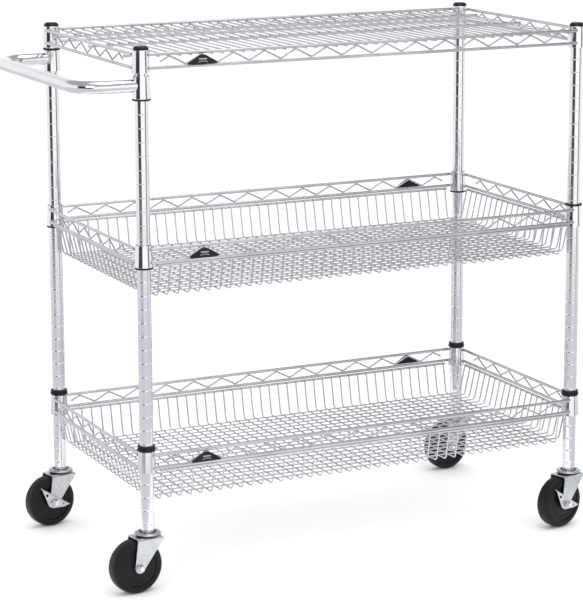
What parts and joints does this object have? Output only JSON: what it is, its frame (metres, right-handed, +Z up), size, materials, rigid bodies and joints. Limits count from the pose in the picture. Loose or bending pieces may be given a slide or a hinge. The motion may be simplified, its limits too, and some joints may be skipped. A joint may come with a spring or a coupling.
{
  "type": "rolling utility cart",
  "caption": "Chrome wire utility cart with a flat top shelf, wire baskets on grooved posts, a tube push handle, swivel casters and side brakes.",
  "frame": {"origin": "on the floor, under the middle of the bounding box", "axes": "+X along the cart away from the push handle, -Y the front, +Z up"},
  "size_m": [1.0702, 0.5288, 1.0141],
  "materials": {
    "chrome_plate": "bright chrome plate on steel wire and tube",
    "zinc_plate": "bright zinc plate on pressed steel",
    "wheel_rubber": "black moulded rubber, satin",
    "black_plastic": "black moulded plastic, satin"
  },
  "bodies": {
    "cart": {"post_left_front": "chrome_plate", "post_cap_left_front": "black_plastic", "caster_stem_left_front": "zinc_plate", "sleeve_top_left_front": "black_plastic", "sleeve_middle_left_front": "black_plastic", "sleeve_bottom_left_front": "black_plastic", "post_left_back": "chrome_plate", "post_cap_left_back": "black_plastic", "caster_stem_left_back": "zinc_plate", "sleeve_top_left_back": "black_plastic", "sleeve_middle_left_back": "black_plastic", "sleeve_bottom_left_back": "black_plastic", "post_right_front": "chrome_plate", "post_cap_right_front": "black_plastic", "caster_stem_right_front": "zinc_plate", "sleeve_top_right_front": "black_plastic", "sleeve_middle_right_front": "black_plastic", "sleeve_bottom_right_front": "black_plastic", "post_right_back": "chrome_plate", "post_cap_right_back": "black_plastic", "caster_stem_right_back": "zinc_plate", "sleeve_top_right_back": "black_plastic", "sleeve_middle_right_back": "black_plastic", "sleeve_bottom_right_back": "black_plastic", "sleeve_handle_front": "black_plastic", "sleeve_handle_back": "black_plastic", "push_handle": "chrome_plate", "top_shelf_frame": "chrome_plate", "top_shelf_deck": "chrome_plate", "middle_basket_frame": "chrome_plate", "middle_basket_wall_front": "chrome_plate", "middle_basket_wall_right": "chrome_plate", "middle_basket_wall_back": "chrome_plate", "middle_basket_wall_left": "chrome_plate", "middle_basket_floor": "chrome_plate", "bottom_basket_frame": "chrome_plate", "bottom_basket_wall_front": "chrome_plate", "bottom_basket_wall_right": "chrome_plate", "bottom_basket_wall_back": "chrome_plate", "bottom_basket_wall_left": "chrome_plate", "bottom_basket_floor": "chrome_plate", "label_plate_top_front": "black_plastic", "label_plate_middle_front": "black_plastic", "label_plate_middle_back": "black_plastic", "label_plate_bottom_front": "black_plastic", "label_plate_bottom_back": "black_plastic"},
    "swivel_left_front": {"caster_fork_left_front": "zinc_plate", "caster_axle_left_front": "zinc_plate"},
    "wheel_left_front": {"caster_wheel_left_front": "wheel_rubber"},
    "swivel_left_back": {"caster_fork_left_back": "zinc_plate", "caster_axle_left_back": "zinc_plate"},
    "wheel_left_back": {"caster_wheel_left_back": "wheel_rubber"},
    "brake_left_back": {"brake_lever_left_back": "zinc_plate"},
    "swivel_right_front": {"caster_fork_right_front": "zinc_plate", "caster_axle_right_front": "zinc_plate"},
    "wheel_right_front": {"caster_wheel_right_front": "wheel_rubber"},
    "brake_right_front": {"brake_lever_right_front": "zinc_plate"},
    "swivel_right_back": {"caster_fork_right_back": "zinc_plate", "caster_axle_right_back": "zinc_plate"},
    "wheel_right_back": {"caster_wheel_right_back": "wheel_rubber"}
  },
  "joints": [
    {"name": "swivel_left_front", "type": "hinge", "parent": "cart", "child": "swivel_left_front", "pos_m": [-0.40783, -0.22157, 0.11], "axis": [0, 0, 1], "continuous": true},
    {"name": "wheel_spin_left_front", "type": "hinge", "parent": "swivel_left_front", "child": "wheel_left_front", "pos_m": [-0.43468, -0.22439, 0.0508], "axis": [-0.1045, 0.9945, 0], "continuous": true},
    {"name": "swivel_left_back", "type": "hinge", "parent": "cart", "child": "swivel_left_back", "pos_m": [-0.40783, 0.23943, 0.11], "axis": [0, 0, 1], "continuous": true},
    {"name": "wheel_spin_left_back", "type": "hinge", "parent": "swivel_left_back", "child": "wheel_left_back", "pos_m": [-0.43442, 0.23474, 0.0508], "axis": [-0.1736, 0.9848, 0], "continuous": true},
    {"name": "brake_left_back", "type": "hinge", "parent": "swivel_left_back", "child": "brake_left_back", "pos_m": [-0.43442, 0.23474, 0.0508], "axis": [-0.1736, 0.9848, 0], "range_deg": [0, 18]},
    {"name": "swivel_right_front", "type": "hinge", "parent": "cart", "child": "swivel_right_front", "pos_m": [0.50657, -0.22157, 0.11], "axis": [0, 0, 1], "continuous": true},
    {"name": "wheel_spin_right_front", "type": "hinge", "parent": "swivel_right_front", "child": "wheel_right_front", "pos_m": [0.48049, -0.22856, 0.0508], "axis": [-0.2588, 0.9659, 0], "continuous": true},
    {"name": "brake_right_front", "type": "hinge", "parent": "swivel_right_front", "child": "brake_right_front", "pos_m": [0.48049, -0.22856, 0.0508], "axis": [-0.2588, 0.9659, 0], "range_deg": [0, 18]},
    {"name": "swivel_right_back", "type": "hinge", "parent": "cart", "child": "swivel_right_back", "pos_m": [0.50657, 0.23943, 0.11], "axis": [0, 0, 1], "continuous": true},
    {"name": "wheel_spin_right_back", "type": "hinge", "parent": "swivel_right_back", "child": "wheel_right_back", "pos_m": [0.47983, 0.23567, 0.0508], "axis": [-0.1392, 0.9903, 0], "continuous": true}
  ]
}
